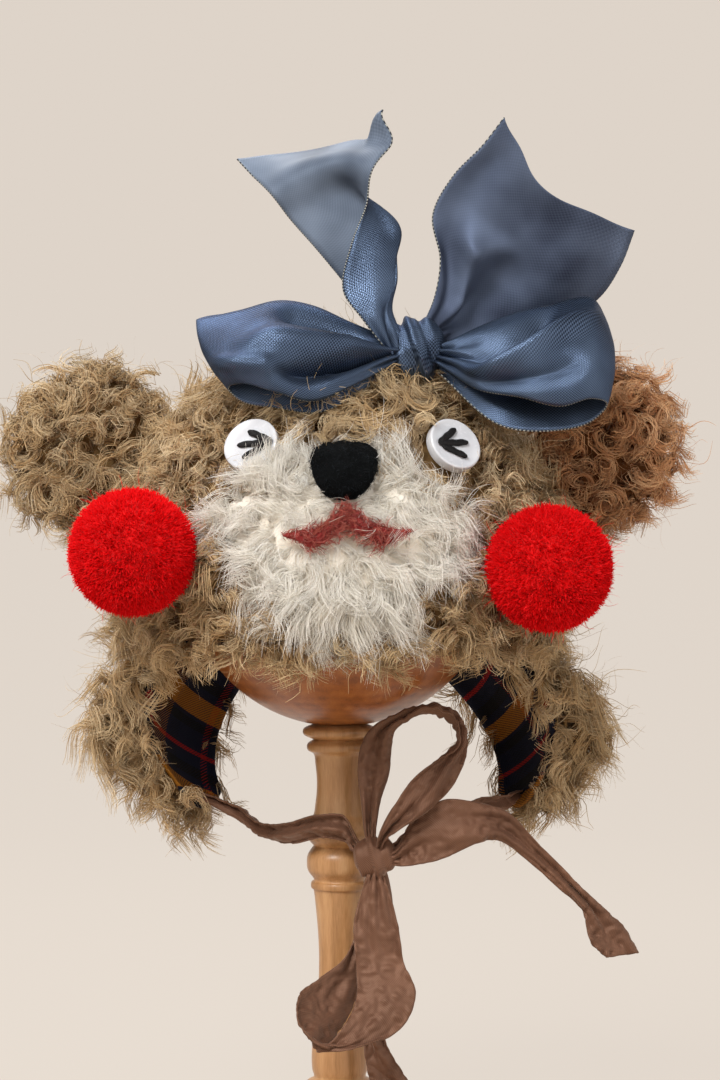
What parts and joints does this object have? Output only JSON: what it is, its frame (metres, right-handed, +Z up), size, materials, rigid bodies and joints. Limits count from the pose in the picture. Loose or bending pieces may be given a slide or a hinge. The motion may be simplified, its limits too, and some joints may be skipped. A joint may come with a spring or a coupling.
{
  "type": "doll bonnet on a display head",
  "caption": "Plush bear-face bonnet with ears, ear flaps, pompoms, ribbon bow and ribbon ties, worn by a turned wooden display head on a post and base.",
  "frame": {"origin": "centre of the base's underside", "axes": "+Z up along the post, the face looks along -Y, +X to the camera's right"},
  "size_m": [0.1783, 0.1238, 0.2863],
  "materials": {
    "ball_wood": "waxed, reddish brown",
    "post_wood": "waxed, honey",
    "tan_mohair": "long curly pile",
    "rust_mohair": "long curly pile",
    "cream_mohair": "long curly pile",
    "tartan_lining": "woven check of navy, black, ochre and red",
    "black_felt": "felted",
    "raspberry_fibre": "needle-felted wisps",
    "button_white": "glossy",
    "black_thread": "waxed thread",
    "red_wool": "cut wool pile",
    "blue_ribbon": "shot taffeta with a stitched edge",
    "brown_ribbon": "crinkled silk"
  },
  "bodies": {
    "stand": {"stand_base": "post_wood", "stand_post": "post_wood"},
    "display_ball": {"head_ball": "ball_wood"},
    "bonnet": {"hat_lining": "tartan_lining", "hat_crown": "tan_mohair", "muzzle": "cream_mohair", "nose": "black_felt", "mouth": "raspberry_fibre", "left_eye": "button_white", "left_eye_stitches": "black_thread", "right_eye": "button_white", "right_eye_stitches": "black_thread", "left_pompom": "red_wool", "right_pompom": "red_wool", "bow_knot": "blue_ribbon", "bow_left_loop": "blue_ribbon", "bow_right_loop": "blue_ribbon", "bow_left_tail": "blue_ribbon", "bow_right_tail": "blue_ribbon", "tie_knot": "brown_ribbon", "left_tie": "brown_ribbon", "right_tie": "brown_ribbon", "tie_upper_loop": "brown_ribbon", "tie_lower_loop": "brown_ribbon", "tie_side_tail": "brown_ribbon", "tie_down_tail": "brown_ribbon"},
    "left_ear_flop_body": {"left_ear": "tan_mohair"},
    "right_ear_flop_body": {"right_ear": "rust_mohair"},
    "left_flap_body": {"left_flap": "tan_mohair", "left_flap_lining": "tartan_lining"},
    "right_flap_body": {"right_flap": "tan_mohair", "right_flap_lining": "tartan_lining"}
  },
  "joints": [
    {"name": "head_turn", "type": "hinge", "parent": "stand", "child": "display_ball", "pos_m": [0, 0, 0.1295], "axis": [0, 0, 1], "continuous": true},
    {"name": "hat_lift", "type": "slide", "parent": "display_ball", "child": "bonnet", "axis": [0, 0, 1], "range_m": [0, 0.018], "deforming": ["tie_upper_loop"]},
    {"name": "left_ear_flop", "type": "hinge", "parent": "bonnet", "child": "left_ear_flop_body", "pos_m": [-0.0535, 0.003, 0.1983], "axis": [0.3746, 0, 0.9272], "range_deg": [-12, 12], "stiffness_Nm_per_rad": 0.02},
    {"name": "right_ear_flop", "type": "hinge", "parent": "bonnet", "child": "right_ear_flop_body", "pos_m": [0.0533, 0.003, 0.1991], "axis": [0.3746, 0, -0.9272], "range_deg": [-12, 12], "stiffness_Nm_per_rad": 0.02},
    {"name": "left_flap_swing", "type": "hinge", "parent": "bonnet", "child": "left_flap_body", "pos_m": [-0.0385, 0.018, 0.1501], "axis": [0.4226, 0.9063, 0], "range_deg": [-6, 10], "stiffness_Nm_per_rad": 0.05, "deforming": ["left_tie"]},
    {"name": "right_flap_swing", "type": "hinge", "parent": "bonnet", "child": "right_flap_body", "pos_m": [0.0385, 0.018, 0.1501], "axis": [0.4226, -0.9063, 0], "range_deg": [-6, 10], "stiffness_Nm_per_rad": 0.05, "deforming": ["right_tie"]}
  ]
}
